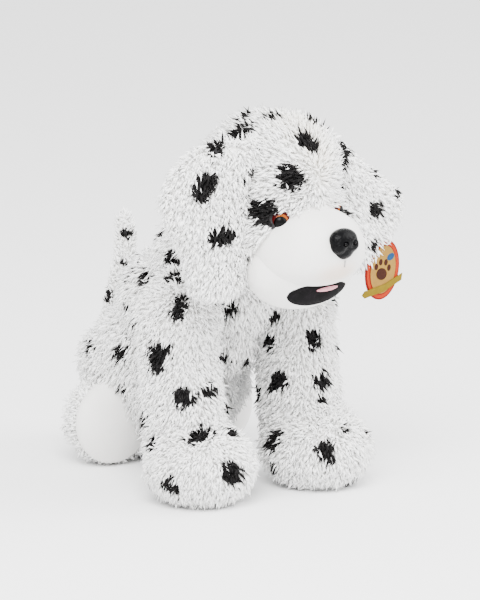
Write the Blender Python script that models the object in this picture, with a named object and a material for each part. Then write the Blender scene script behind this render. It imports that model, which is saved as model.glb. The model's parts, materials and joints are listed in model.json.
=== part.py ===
"""Sitting plush spotted dog: sewn covers, stuffing, safety eyes and nose, hang tag.

The dog looks along -Y, +X is its left side, +Z is up. The origin is on the flat seat under the torso.
"""
import math

import bpy
from mathutils import Matrix, Vector

# Fabric and fits
COVER_WALL = 0.004          # backed pile fabric with its inner layer of batting
MUZZLE_WALL = 0.003         # short-pile fabric
FIT_GAP = 0.0004            # between pieces that touch
SEGMENTS = 16               # points round a stuffed tube
BALL_RINGS = 10
BALL_SEGMENTS = 20

# Torso: (height, centre along Y, half width, half depth), seat first
SEAT_HALF_WIDTH = 0.050
SEAT_HALF_DEPTH = 0.047
TORSO_HALF_WIDTH = 0.057
TORSO_TOP = 0.205
TORSO_SECTIONS = (
    (0.0, 0.004, SEAT_HALF_WIDTH, SEAT_HALF_DEPTH),
    (0.006, 0.003, TORSO_HALF_WIDTH - 0.003, 0.051),
    (0.040, -0.001, TORSO_HALF_WIDTH, 0.054),
    (0.086, -0.025, TORSO_HALF_WIDTH, 0.062),
    (0.133, -0.053, TORSO_HALF_WIDTH - 0.007, 0.068),
    (0.159, -0.064, TORSO_HALF_WIDTH - 0.012, 0.062),
    (0.182, -0.088, TORSO_HALF_WIDTH - 0.019, 0.047),
    (TORSO_TOP, -0.105, TORSO_HALF_WIDTH - 0.025, 0.036),
)
POUCH_TOP = 0.034           # the pellets fill the seat up to this height

# Head: everything on it is placed from the middle of the skull
SKULL_RADIUS = 0.051
HEAD_CENTRE = Vector((0.0, -0.164, 0.2425))
HEAD_TURN = math.radians(12.0)      # the head looks a little to its left
SOCKET_GAP = 0.0008                 # between skull and the collar it turns in
MUZZLE_SET_BACK = 0.0086             # the muzzle's middle, measured in from the skull's front
MUZZLE_SET_BELOW = 0.0008            # and down from its lowest point
MUZZLE_CENTRE = Vector((0.0, MUZZLE_SET_BACK - SKULL_RADIUS, -MUZZLE_SET_BELOW - SKULL_RADIUS))
MUZZLE_HALF = Vector((0.050, 0.038, 0.039))
JAW_CENTRE = MUZZLE_CENTRE + Vector((0.0, -0.0091, -0.0308))
JAW_HALF = Vector((0.030, 0.026, 0.013))
LINING_WALL = 0.003
TONGUE_CENTRE = MUZZLE_CENTRE + Vector((0.0, -0.0236, -0.0267))
TONGUE_HALF = Vector((0.011, 0.015, 0.0055))

# Safety nose and eyes: a moulded front on a shank with a locking washer
NOSE_CENTRE = MUZZLE_CENTRE + Vector((0.0, -0.0341, 0.0153))
NOSE_HALF = Vector((0.0125, 0.0085, 0.0115))
NOSE_SHANK_RADIUS = 0.003
NOSE_SHANK_LENGTH = 0.022
NOSE_WASHER_RADIUS = 0.007
EYE_DIRECTION = Vector((0.0305, -0.0400, -0.0155)).normalized()   # the left eye, from the skull
EYE_STAND = 0.00164         # how far the eye's middle is outside the skull's surface
EYE_RADIUS = 0.0062
EYE_SHANK_RADIUS = 0.002
EYE_SHANK_LENGTH = 0.016
EYE_WASHER_RADIUS = 0.0055
SHANK_ROOT = 0.003          # how deep a shank starts inside its moulded front
WASHER_WALL = 0.0012
WASHER_SET = 0.0016         # how far under the cover's inner face a washer is pressed

# Ears: (height, inner edge, outer edge) from the middle of the skull
EAR_ROOT_X = SKULL_RADIUS - 0.0125
# The left ear hangs lower and the right one flares higher, as soft ears do.
EAR_HUB_HEIGHT = 0.030
EAR_SECTIONS = {
    "left": (
        (0.030, EAR_ROOT_X, EAR_ROOT_X + 0.0075),
        (0.020, EAR_ROOT_X + 0.0062, EAR_ROOT_X + 0.0165),
        (0.010, EAR_ROOT_X + 0.0100, EAR_ROOT_X + 0.0285),
        (-0.002, EAR_ROOT_X + 0.0113, EAR_ROOT_X + 0.0465),
        (-0.014, EAR_ROOT_X + 0.0115, EAR_ROOT_X + 0.0655),
        (-0.026, EAR_ROOT_X + 0.0120, EAR_ROOT_X + 0.0825),
        (-0.038, EAR_ROOT_X + 0.0130, EAR_ROOT_X + 0.0815),
        (-0.045, EAR_ROOT_X + 0.0136, EAR_ROOT_X + 0.0760),
        (-0.052, EAR_ROOT_X + 0.0144, EAR_ROOT_X + 0.0665),
        (-0.062, EAR_ROOT_X + 0.0163, EAR_ROOT_X + 0.0575),
        (-0.0755, EAR_ROOT_X + 0.0270, EAR_ROOT_X + 0.0475),
    ),
    "right": (
        (0.038, EAR_ROOT_X + 0.0010, EAR_ROOT_X + 0.0315),
        (0.033, EAR_ROOT_X + 0.0005, EAR_ROOT_X + 0.0585),
        (0.018, EAR_ROOT_X + 0.0072, EAR_ROOT_X + 0.0755),
        (0.004, EAR_ROOT_X + 0.0108, EAR_ROOT_X + 0.0815),
        (-0.010, EAR_ROOT_X + 0.0115, EAR_ROOT_X + 0.0795),
        (-0.024, EAR_ROOT_X + 0.0118, EAR_ROOT_X + 0.0715),
        (-0.046, EAR_ROOT_X + 0.0136, EAR_ROOT_X + 0.0575),
        (-0.060, EAR_ROOT_X + 0.0158, EAR_ROOT_X + 0.0555),
        (-0.070, EAR_ROOT_X + 0.0190, EAR_ROOT_X + 0.0505),
        (-0.0755, EAR_ROOT_X + 0.0270, EAR_ROOT_X + 0.0415),
    ),
}
EAR_FORWARD = 0.018
EAR_HALF_THICKNESS = 0.009

# Front legs: (height, centre along Y, half width, half depth), sole first
FRONT_LEG_X = 0.053
SHOULDER = Vector((FRONT_LEG_X, -0.118, 0.130))
FRONT_LEG_HALF_WIDTH = 0.029
FRONT_LEG_SECTIONS = (
    (0.0, -0.152, 0.034, 0.038),
    (0.006, -0.153, 0.040, 0.045),
    (0.020, -0.154, 0.042, 0.047),
    (0.035, -0.152, 0.040, 0.045),
    (0.050, -0.143, 0.036, 0.039),
    (0.066, -0.131, 0.031, 0.032),
    (0.090, -0.125, FRONT_LEG_HALF_WIDTH, 0.030),
    (0.115, -0.120, FRONT_LEG_HALF_WIDTH, 0.034),
    (0.130, SHOULDER.y, FRONT_LEG_HALF_WIDTH, 0.037),
    (0.148, SHOULDER.y, 0.026, 0.032),
    (0.160, SHOULDER.y, 0.019, 0.023),
)
CHEST_HALF_WIDTH = FRONT_LEG_X - FRONT_LEG_HALF_WIDTH - 0.0012
CHEST_POCKET_BACK = -0.075

# Hind legs: (distance behind the sole, radius)
HIND_LEG_RADIUS = 0.0325
HIND_KEEL = 0.0115           # half the torso's width that stays between the hind legs
HIND_LEG_X = HIND_LEG_RADIUS + HIND_KEEL
HIND_LEG_SECTIONS = (
    (0.0, HIND_LEG_RADIUS - 0.0055),
    (0.004, HIND_LEG_RADIUS - 0.0020),
    (0.014, HIND_LEG_RADIUS),
    (0.028, HIND_LEG_RADIUS - 0.0010),
    (0.040, HIND_LEG_RADIUS - 0.0045),
    (0.047, HIND_LEG_RADIUS - 0.0125),
)
HIND_FOOT_FRONT = -0.026
SOLE_PAD_WALL = 0.003
SOLE_PAD_RADIUS = HIND_LEG_RADIUS - 0.0060
HIP_Y = 0.004
HIND_POCKET_HALF_WIDTH = HIND_KEEL - 0.0012
HIND_POCKET_BACK = 0.0300
HIND_POCKET_TOP = 2 * HIND_LEG_RADIUS + 0.0015

# Tail: (Y, Z, radius) along its spine, root first
TAIL_SPINE = (
    (0.0640, 0.030, 0.0095),
    (0.0680, 0.050, 0.0100),
    (0.0640, 0.085, 0.0090),
    (0.0510, 0.120, 0.0080),
    (0.0405, 0.150, 0.0070),
    (0.0400, 0.172, 0.0062),
    (0.0405, 0.178, 0.0035),
)

# Hang tag under the left ear
TAG_HALF_WIDTH = 0.0185
TAG_HALF_HEIGHT = 0.0235
TAG_WALL = 0.0012
TAG_X = EAR_ROOT_X + 0.0615
TAG_TOP_Z = -0.053
TAG_FORWARD = 0.0112         # the loop rests against the front of the ear
TAG_TILT = math.radians(12)
TAG_HOLE_RADIUS = 0.002
TAG_HOLE_DROP = 0.004
LOOP_RADIUS = 0.0052
LOOP_WIRE = 0.0006

BIG = 0.3                   # reach of a cutter past the pieces it trims

for scene_object in list(bpy.data.objects):
    bpy.data.objects.remove(scene_object, do_unlink=True)


def material(name, colour, roughness, metallic=0.0):
    made = bpy.data.materials.new(name)
    made.use_nodes = True
    shader = made.node_tree.nodes["Principled BSDF"]
    shader.inputs["Base Color"].default_value = (*colour, 1.0)
    shader.inputs["Roughness"].default_value = roughness
    shader.inputs["Metallic"].default_value = metallic
    return made


PILE = material("spotted_pile", (0.86, 0.85, 0.82), 0.95)
SHORT_PILE = material("smooth_pile", (0.90, 0.89, 0.86), 0.9)
STUFFING = material("polyester_stuffing", (0.93, 0.93, 0.94), 1.0)
PELLETS = material("pellet_pouch", (0.70, 0.72, 0.76), 0.8)
BLACK_PLASTIC = material("black_plastic", (0.012, 0.012, 0.013), 0.25)
CLEAR_WASHER = material("white_washer", (0.80, 0.80, 0.80), 0.4)
BLACK_FELT = material("black_felt", (0.015, 0.013, 0.014), 0.9)
PINK_FELT = material("pink_felt", (0.78, 0.33, 0.38), 0.9)
CARD = material("printed_card", (0.90, 0.42, 0.20), 0.4)
LOOP_PLASTIC = material("loop_plastic", (0.85, 0.85, 0.85), 0.35)


def mesh_object(name, verts, faces, look=None):
    mesh = bpy.data.meshes.new(name)
    mesh.from_pydata([tuple(v) for v in verts], [], faces)
    mesh.update()
    made = bpy.data.objects.new(name, mesh)
    bpy.context.scene.collection.objects.link(made)
    if look is not None:
        mesh.materials.append(look)
    return made


def ring_points(centre, side, up, half_side, half_up, count=SEGMENTS):
    points = []
    for step in range(count):
        angle = 2 * math.pi * step / count
        points.append(centre + side * (half_side * math.cos(angle)) + up * (half_up * math.sin(angle)))
    return points


def loft(name, rings, look=None):
    """A closed solid through rings of equal length, capped flat at both ends."""
    count = len(rings[0])
    verts = [point for ring in rings for point in ring]
    faces = []
    for level in range(len(rings) - 1):
        low, high = level * count, (level + 1) * count
        for step in range(count):
            after = (step + 1) % count
            faces.append((low + step, low + after, high + after))
            faces.append((low + step, high + after, high + step))
    faces.append(tuple(range(count))[::-1])
    faces.append(tuple(range((len(rings) - 1) * count, len(rings) * count)))
    made = mesh_object(name, verts, faces, look)
    face_outwards(made)
    return made


def face_outwards(thing):
    """Turn a solid's faces round where its signed volume is negative."""
    mesh = thing.data
    mesh.calc_loop_triangles()
    volume = 0.0
    for triangle in mesh.loop_triangles:
        a, b, c = (mesh.vertices[i].co for i in triangle.vertices)
        volume += a.dot(b.cross(c))
    if volume < 0:
        mesh.flip_normals()


def ellipsoid(name, centre, half, grow=0.0, look=None):
    rings = []
    for level in range(1, BALL_RINGS):
        polar = math.pi * level / BALL_RINGS
        middle = centre + Vector((0, 0, -(half.z + grow) * math.cos(polar)))
        reach = math.sin(polar)
        rings.append(ring_points(middle, Vector((1, 0, 0)), Vector((0, 1, 0)),
                                 (half.x + grow) * reach, (half.y + grow) * reach, BALL_SEGMENTS))
    count = BALL_SEGMENTS
    verts = [point for ring in rings for point in ring]
    bottom, top = len(verts), len(verts) + 1
    verts += [centre - Vector((0, 0, half.z + grow)), centre + Vector((0, 0, half.z + grow))]
    faces = []
    last = (len(rings) - 1) * count
    for step in range(count):
        after = (step + 1) % count
        faces.append((bottom, after, step))
        faces.append((top, last + step, last + after))
        for level in range(len(rings) - 1):
            low, high = level * count, (level + 1) * count
            faces.append((low + step, low + after, high + after, high + step))
    made = mesh_object(name, verts, faces, look)
    face_outwards(made)
    return made


def box(name, low, high):
    (x0, y0, z0), (x1, y1, z1) = low, high
    verts = [(x, y, z) for x in (x0, x1) for y in (y0, y1) for z in (z0, z1)]
    faces = [(0, 1, 3, 2), (4, 6, 7, 5), (0, 4, 5, 1), (2, 3, 7, 6), (0, 2, 6, 4), (1, 5, 7, 3)]
    made = mesh_object(name, verts, faces)
    face_outwards(made)
    return made


def rod(name, start, end, radius, count=12):
    along = (end - start).normalized()
    side = along.orthogonal().normalized()
    up = along.cross(side)
    return loft(name, [ring_points(start, side, up, radius, radius, count),
                       ring_points(end, side, up, radius, radius, count)])


def combine(target, tool, operation, keep_tool=False):
    """Apply a Boolean to the target's mesh and drop the tool."""
    modifier = target.modifiers.new(operation.lower(), "BOOLEAN")
    modifier.operation = operation
    modifier.object = tool
    modifier.solver = "EXACT"
    graph = bpy.context.evaluated_depsgraph_get()
    cut = bpy.data.meshes.new_from_object(target.evaluated_get(graph))
    target.modifiers.remove(modifier)
    old = target.data
    target.data = cut
    bpy.data.meshes.remove(old)
    if not keep_tool:
        bpy.data.objects.remove(tool, do_unlink=True)
    return target


def cut_all(target, tools):
    for tool in tools:
        combine(target, tool, "DIFFERENCE")
    return target


def finish(thing, name, look, parent=None, smooth=True):
    """Name a solid, give it its one material and hang it on its body's empty."""
    thing.name = name
    thing.data.name = name
    thing.data.materials.clear()
    thing.data.materials.append(look)
    if smooth:
        thing.data.shade_smooth()
        thing.data.set_sharp_from_angle(angle=math.radians(40))
    if parent is not None:
        thing.data.transform(Matrix.Translation(-Vector(parent["pivot"])))
        thing.parent = parent
    return thing


def pivot(name, place, parent=None, turn=0.0):
    """An empty on a joint's axis; pieces under it are modelled in the parent's space."""
    empty = bpy.data.objects.new(name, None)
    bpy.context.scene.collection.objects.link(empty)
    empty["pivot"] = tuple(place)
    if parent is not None:
        empty.parent = parent
        empty.location = Vector(place) - Vector(parent["pivot"])
    else:
        empty.location = place
    empty.rotation_euler = (0.0, 0.0, turn)
    return empty


X_AXIS, Y_AXIS, Z_AXIS = Vector((1, 0, 0)), Vector((0, 1, 0)), Vector((0, 0, 1))


# Torso ------------------------------------------------------------------------------------------

def torso_solid(inset):
    rings = []
    for level, (height, middle, half_width, half_depth) in enumerate(TORSO_SECTIONS):
        z = max(height, inset) if level == 0 else height
        rings.append(ring_points(Vector((0, middle, z)), X_AXIS, Y_AXIS,
                                 half_width - inset, half_depth - inset, SEGMENTS + 4))
    if inset:
        rings.pop(1)
        rings[-1] = [point + Z_AXIS * COVER_WALL for point in rings[-1]]
    return loft("torso_solid", rings)


def torso_pockets(grow):
    """Room for the four legs beside the torso, and for the skull in its collar."""
    tools = []
    for side in (-1, 1):
        inner = CHEST_HALF_WIDTH - grow
        xs = sorted((side * inner, side * BIG))
        tools.append(box("chest_pocket", (xs[0], -BIG, -BIG),
                         (xs[1], CHEST_POCKET_BACK + grow, BIG)))
        xs = sorted((side * (HIND_POCKET_HALF_WIDTH - grow), side * BIG))
        tools.append(box("hind_pocket", (xs[0], -BIG, -BIG),
                         (xs[1], HIND_POCKET_BACK + grow, HIND_POCKET_TOP + grow)))
    skull = Vector((SKULL_RADIUS,) * 3)
    tools.append(ellipsoid("collar_cut", HEAD_CENTRE, skull, SOCKET_GAP + grow))
    return tools


def build_torso():
    torso = pivot("torso", Vector((0, 0, 0)))
    cover = cut_all(torso_solid(0.0), torso_pockets(0.0))
    hollow = cut_all(torso_solid(COVER_WALL), torso_pockets(COVER_WALL))
    cover = cut_all(cover, [hollow])
    finish(cover, "torso_cover", PILE, torso)

    inset = COVER_WALL + FIT_GAP
    filling = cut_all(torso_solid(inset), torso_pockets(inset))
    pouch = cut_all(torso_solid(inset), torso_pockets(inset))
    below = box("pouch_space", (-BIG, -BIG, -BIG), (BIG, BIG, POUCH_TOP + FIT_GAP))
    above = box("filling_space", (-BIG, -BIG, POUCH_TOP), (BIG, BIG, BIG))
    crown = box("filling_top", (-BIG, -BIG, TORSO_TOP - COVER_WALL), (BIG, BIG, BIG))
    finish(cut_all(filling, [below, crown]), "torso_stuffing", STUFFING, torso)
    finish(cut_all(pouch, [above]), "pellet_pouch", PELLETS, torso)
    return torso


# Legs -------------------------------------------------------------------------------------------

def tube_rings(sections, inset, count=SEGMENTS):
    """Level rings of a leg, drawn in by the inset; the first level stays that far off the floor."""
    rings = []
    for level, (x, y, z, half_side, half_up) in enumerate(sections):
        height = max(z, inset) if level == 0 else z
        rings.append(ring_points(Vector((x, y, height)), X_AXIS, Y_AXIS,
                                 half_side - inset, half_up - inset, count))
    if inset:
        rings.pop(1)
    return rings


def build_front_leg(side_name, side, torso):
    hub = Vector((side * SHOULDER.x, SHOULDER.y, SHOULDER.z))
    leg = pivot(f"front_leg_{side_name}", hub, torso)
    sections = [(side * FRONT_LEG_X, y, z, width, depth) for z, y, width, depth in FRONT_LEG_SECTIONS]
    cover = loft("cover", tube_rings(sections, 0.0))
    hollow = tube_rings(sections, COVER_WALL)
    lifted = [point + Z_AXIS * COVER_WALL for point in hollow[-1]]
    cover = cut_all(cover, [loft("hollow", hollow + [lifted])])
    finish(cover, f"front_leg_{side_name}_cover", PILE, leg)
    filling = tube_rings(sections, COVER_WALL + FIT_GAP)
    finish(loft("filling", filling), f"front_leg_{side_name}_stuffing", STUFFING, leg)


def build_hind_leg(side_name, side, torso):
    hub = Vector((side * HIND_LEG_X, HIP_Y, HIND_LEG_RADIUS))
    leg = pivot(f"hind_leg_{side_name}", hub, torso)

    def rings(inset):
        made = []
        for level, (behind, radius) in enumerate(HIND_LEG_SECTIONS):
            back = max(behind, inset) if level == 0 else behind
            centre = Vector((side * HIND_LEG_X, HIND_FOOT_FRONT + back, HIND_LEG_RADIUS))
            made.append(ring_points(centre, X_AXIS, Z_AXIS, radius - inset, radius - inset))
        if inset:
            made.pop(1)
        return made

    cover = loft("cover", rings(0.0))
    hollow = rings(COVER_WALL)
    pushed = [point + Y_AXIS * COVER_WALL for point in hollow[-1]]
    cover = cut_all(cover, [loft("hollow", hollow + [pushed])])
    finish(cover, f"hind_leg_{side_name}_cover", PILE, leg)
    filling = loft("filling", rings(COVER_WALL + FIT_GAP))
    finish(filling, f"hind_leg_{side_name}_stuffing", STUFFING, leg)
    back = Vector((side * HIND_LEG_X, HIND_FOOT_FRONT - FIT_GAP, HIND_LEG_RADIUS))
    pad_rings = [
        ring_points(back - Y_AXIS * depth, X_AXIS, Z_AXIS, radius, radius)
        for depth, radius in ((0.0, SOLE_PAD_RADIUS), (SOLE_PAD_WALL / 2, SOLE_PAD_RADIUS - 0.0007),
                              (SOLE_PAD_WALL, SOLE_PAD_RADIUS - 0.004))
    ]
    finish(loft("pad", pad_rings), f"hind_sole_{side_name}", SHORT_PILE, leg)


# Tail -------------------------------------------------------------------------------------------

def build_tail(torso):
    root_y, root_z, _ = TAIL_SPINE[0]
    tail = pivot("tail", Vector((0, root_y, root_z)), torso)

    def rings(inset, first, last):
        made = []
        for level in range(first, last):
            y, z, radius = TAIL_SPINE[level]
            before = TAIL_SPINE[max(level - 1, 0)]
            after = TAIL_SPINE[min(level + 1, len(TAIL_SPINE) - 1)]
            along = Vector((0, after[0] - before[0], after[1] - before[1])).normalized()
            made.append(ring_points(Vector((0, y, z)), X_AXIS, along.cross(X_AXIS),
                                    radius - inset, radius - inset, 14))
        return made

    wall = COVER_WALL / 2
    cover = loft("cover", rings(0.0, 0, len(TAIL_SPINE)))
    hollow = rings(wall, 0, len(TAIL_SPINE) - 1)
    hollow.insert(0, [point - Z_AXIS * wall for point in hollow[0]])
    finish(cut_all(cover, [loft("hollow", hollow)]), "tail_cover", PILE, tail)
    filling = loft("filling", rings(wall + FIT_GAP, 0, len(TAIL_SPINE) - 1))
    trim = box("tip_trim", (-BIG, -BIG, TAIL_SPINE[-2][1] - FIT_GAP), (BIG, BIG, BIG))
    finish(cut_all(filling, [trim]), "tail_stuffing", STUFFING, tail)


# Head -------------------------------------------------------------------------------------------

def on_head(offset):
    return HEAD_CENTRE + offset


def shank(front, inward, radius, length):
    return rod("shank", front - inward * SHANK_ROOT, front + inward * length, radius)


def shank_bore(front, inward, radius, length):
    return rod("bore", front - inward * SHANK_ROOT, front + inward * (length + FIT_GAP),
               radius + FIT_GAP)


def washer_recess(front, inward, radius, depth):
    """The pocket that the washer presses into the stuffing, open towards the cover."""
    return rod("recess", front, front + inward * (depth + WASHER_WALL + FIT_GAP), radius + FIT_GAP,
               SEGMENTS)


def washer(name, front, inward, shank_radius, washer_radius, surface_depth, head):
    start = front + inward * surface_depth
    disc = rod("disc", start, start + inward * WASHER_WALL, washer_radius, SEGMENTS)
    bore = rod("bore", front, start + inward * (WASHER_WALL + COVER_WALL), shank_radius + FIT_GAP)
    finish(cut_all(disc, [bore]), name, CLEAR_WASHER, head)


def build_head(torso):
    head = pivot("head", HEAD_CENTRE, torso, HEAD_TURN)
    skull_half = Vector((SKULL_RADIUS,) * 3)
    muzzle_centre = on_head(MUZZLE_CENTRE)

    def skull(grow):
        return ellipsoid("skull", HEAD_CENTRE, skull_half, grow)

    def muzzle(grow):
        return ellipsoid("muzzle", muzzle_centre, MUZZLE_HALF, grow)

    nose_front = on_head(NOSE_CENTRE)
    nose_in, nose_lift = nose_seat(nose_front - muzzle_centre)
    nose_washer_depth = nose_lift + MUZZLE_WALL + WASHER_SET
    eyes = {}
    for side_name, side in (("left", 1), ("right", -1)):
        outward = Vector((side * EYE_DIRECTION.x, EYE_DIRECTION.y, EYE_DIRECTION.z))
        eyes[side_name] = (on_head(outward * (SKULL_RADIUS + EYE_STAND)), -outward)
    eye_washer_depth = EYE_STAND + COVER_WALL + WASHER_SET

    # Skull cover, open at the neck, and its stuffing
    cover = cut_all(skull(0.0), [skull(-COVER_WALL)])
    neck_end = on_head(Vector((0, 0.030, -SKULL_RADIUS - COVER_WALL)))
    neck_hole = rod("neck_hole", HEAD_CENTRE + Vector((0, 0.012, -0.020)), neck_end, 0.016, SEGMENTS)
    cover = cut_all(cover, [neck_hole])
    filling = skull(-COVER_WALL - FIT_GAP)
    for front, inward in eyes.values():
        cut_all(cover, [shank_bore(front, inward, EYE_SHANK_RADIUS, EYE_SHANK_LENGTH)])
        cut_all(filling, [shank_bore(front, inward, EYE_SHANK_RADIUS, EYE_SHANK_LENGTH),
                          washer_recess(front, inward, EYE_WASHER_RADIUS, eye_washer_depth)])
    finish(cover, "head_cover", PILE, head)
    finish(filling, "head_stuffing", STUFFING, head)

    # Muzzle cover, open towards the skull, and its stuffing
    nose_bore = (nose_front, nose_in, NOSE_SHANK_RADIUS, NOSE_SHANK_LENGTH)
    shell = cut_all(muzzle(0.0), [muzzle(-MUZZLE_WALL), skull(FIT_GAP), shank_bore(*nose_bore)])
    for front, inward in eyes.values():
        ball = Vector((EYE_RADIUS,) * 3)
        shell = cut_all(shell, [ellipsoid("eye_room", front, ball, FIT_GAP)])
    finish(shell, "muzzle_cover", SHORT_PILE, head)
    core = cut_all(muzzle(-MUZZLE_WALL - FIT_GAP), [
        skull(FIT_GAP), shank_bore(*nose_bore),
        washer_recess(nose_front, nose_in, NOSE_WASHER_RADIUS, nose_washer_depth)])
    for front, inward in eyes.values():
        ball = Vector((EYE_RADIUS,) * 3)
        core = cut_all(core, [ellipsoid("eye_room", front, ball, FIT_GAP)])
    finish(core, "muzzle_stuffing", STUFFING, head)

    # Nose and eyes
    nose = ellipsoid("nose", nose_front, NOSE_HALF)
    cut_all(nose, [muzzle(FIT_GAP)])
    combine(nose, shank(nose_front, nose_in, NOSE_SHANK_RADIUS, NOSE_SHANK_LENGTH), "UNION")
    finish(nose, "nose", BLACK_PLASTIC, head)
    washer("nose_washer", nose_front, nose_in, NOSE_SHANK_RADIUS, NOSE_WASHER_RADIUS,
           nose_washer_depth, head)
    for side_name, (front, inward) in eyes.items():
        eye = ellipsoid("eye", front, Vector((EYE_RADIUS,) * 3))
        cut_all(eye, [skull(FIT_GAP)])
        combine(eye, shank(front, inward, EYE_SHANK_RADIUS, EYE_SHANK_LENGTH), "UNION")
        finish(eye, f"eye_{side_name}", BLACK_PLASTIC, head)
        washer(f"eye_washer_{side_name}", front, inward, EYE_SHANK_RADIUS, EYE_WASHER_RADIUS,
               eye_washer_depth, head)

    # Mouth: tongue on a black lining, lining on the lower jaw
    tongue = cut_all(ellipsoid("tongue", on_head(TONGUE_CENTRE), TONGUE_HALF), [muzzle(FIT_GAP)])
    finish(tongue, "tongue", PINK_FELT, head)
    lining = ellipsoid("lining", on_head(JAW_CENTRE), JAW_HALF)
    combine(lining, muzzle(LINING_WALL), "INTERSECT")
    cut_all(lining, [muzzle(FIT_GAP), skull(FIT_GAP),
                     ellipsoid("tongue_room", on_head(TONGUE_CENTRE), TONGUE_HALF, FIT_GAP)])
    finish(lining, "mouth_lining", BLACK_FELT, head)
    jaw = ellipsoid("jaw", on_head(JAW_CENTRE), JAW_HALF)
    cut_all(jaw, [muzzle(LINING_WALL + FIT_GAP), skull(FIT_GAP),
                  ellipsoid("tongue_room", on_head(TONGUE_CENTRE), TONGUE_HALF, FIT_GAP)])
    finish(jaw, "lower_jaw", SHORT_PILE, head)
    return head


def nose_seat(offset):
    """The way into the muzzle under the nose, and how far the nose's middle is above its surface."""
    rise = offset.z / MUZZLE_HALF.z
    surface_y = -MUZZLE_HALF.y * math.sqrt(1 - rise * rise)
    outward = Vector((0, surface_y / MUZZLE_HALF.y ** 2, offset.z / MUZZLE_HALF.z ** 2)).normalized()
    return -outward, (surface_y - offset.y) * -outward.y


def build_ear(side_name, side, head):
    hub = on_head(Vector((side * EAR_ROOT_X, -EAR_FORWARD, EAR_HUB_HEIGHT)))
    ear = pivot(f"ear_{side_name}", hub, head)
    rings = []
    for height, inner, outer in EAR_SECTIONS[side_name]:
        middle = on_head(Vector((side * (inner + outer) / 2, -EAR_FORWARD, height)))
        rings.append(ring_points(middle, X_AXIS, Y_AXIS, (outer - inner) / 2, EAR_HALF_THICKNESS))
    split = hub.y
    front = cut_all(loft("front", rings), [box("behind", (-BIG, split - FIT_GAP / 2, -BIG),
                                               (BIG, BIG, BIG))])
    back = cut_all(loft("back", rings), [box("ahead", (-BIG, -BIG, -BIG),
                                             (BIG, split + FIT_GAP / 2, BIG))])
    finish(front, f"ear_{side_name}_outer", PILE, ear)
    finish(back, f"ear_{side_name}_lining", PILE, ear)
    return ear


def build_tag(ear):
    """An oval card on a thin plastic loop, in front of the ear's lower edge."""
    loop_middle = on_head(Vector((TAG_X, -EAR_FORWARD - TAG_FORWARD, TAG_TOP_Z)))
    tag = pivot("tag", loop_middle - Z_AXIS * (LOOP_RADIUS - LOOP_WIRE), ear)
    hole = loop_middle - Z_AXIS * LOOP_RADIUS
    upright = Vector((math.sin(TAG_TILT), 0, math.cos(TAG_TILT)))
    level = Vector((math.cos(TAG_TILT), 0, -math.sin(TAG_TILT)))
    card_middle = hole - upright * (TAG_HALF_HEIGHT - TAG_HOLE_DROP)
    half_wall = Y_AXIS * (TAG_WALL / 2)
    card = loft("card", [
        ring_points(card_middle - half_wall, level, upright, TAG_HALF_WIDTH, TAG_HALF_HEIGHT, 32),
        ring_points(card_middle + half_wall, level, upright, TAG_HALF_WIDTH, TAG_HALF_HEIGHT, 32)])
    cut_all(card, [rod("hole", hole - Y_AXIS * BIG / 10, hole + Y_AXIS * BIG / 10, TAG_HOLE_RADIUS)])
    finish(card, "hang_tag", CARD, tag, smooth=False)
    turns, sides = 20, 6
    verts, faces = [], []
    for turn in range(turns):
        angle = 2 * math.pi * turn / turns
        out = Y_AXIS * math.cos(angle) + Z_AXIS * math.sin(angle)
        verts += ring_points(loop_middle + out * LOOP_RADIUS, out, X_AXIS, LOOP_WIRE, LOOP_WIRE, sides)
    for turn in range(turns):
        here, there = turn * sides, (turn + 1) % turns * sides
        for step in range(sides):
            after = (step + 1) % sides
            faces.append((here + step, there + step, there + after, here + after))
    loop = mesh_object("loop", verts, faces)
    face_outwards(loop)
    finish(loop, "tag_loop", LOOP_PLASTIC, ear)


torso_pivot = build_torso()
for name, sign in (("left", 1), ("right", -1)):
    build_front_leg(name, sign, torso_pivot)
    build_hind_leg(name, sign, torso_pivot)
build_tail(torso_pivot)
head_pivot = build_head(torso_pivot)
left_ear = build_ear("left", 1, head_pivot)
build_ear("right", -1, head_pivot)
build_tag(left_ear)
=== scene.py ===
"""A sitting plush puppy: stuffed skins, shaggy spotted pile, safety nose and eyes, swing tag."""
import json
import math

import bmesh
import bpy
import numpy as np
from mathutils import Matrix, Vector


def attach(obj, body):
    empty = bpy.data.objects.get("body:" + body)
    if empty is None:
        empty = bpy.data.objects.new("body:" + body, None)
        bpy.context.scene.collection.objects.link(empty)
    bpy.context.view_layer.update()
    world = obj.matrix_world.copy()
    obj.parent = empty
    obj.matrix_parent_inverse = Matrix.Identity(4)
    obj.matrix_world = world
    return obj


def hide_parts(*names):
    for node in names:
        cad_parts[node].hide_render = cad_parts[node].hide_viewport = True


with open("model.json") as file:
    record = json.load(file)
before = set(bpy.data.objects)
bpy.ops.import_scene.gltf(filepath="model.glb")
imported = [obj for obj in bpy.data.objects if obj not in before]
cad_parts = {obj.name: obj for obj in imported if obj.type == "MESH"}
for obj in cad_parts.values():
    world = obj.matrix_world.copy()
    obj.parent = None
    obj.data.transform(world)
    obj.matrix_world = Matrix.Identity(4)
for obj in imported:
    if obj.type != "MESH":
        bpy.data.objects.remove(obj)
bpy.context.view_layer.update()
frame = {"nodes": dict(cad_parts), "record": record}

MM = 0.001

# ---- Where the parts are ---------------------------------------------------------------------

JOINTS = {joint["name"]: joint for joint in frame["record"]["behaviour"]["joints"]}
HEAD_CENTRE = Vector(JOINTS["head_turn"]["pos_m"])
LEFT_EAR_AXIS = Vector(JOINTS["ear_left_lift"]["axis"])
HEAD_TURN = math.atan2(LEFT_EAR_AXIS.x, -LEFT_EAR_AXIS.y)
HEAD_PLACE = Matrix.Translation(HEAD_CENTRE) @ Matrix.Rotation(HEAD_TURN, 4, "Z")
TO_HEAD = HEAD_PLACE.inverted()

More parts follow.
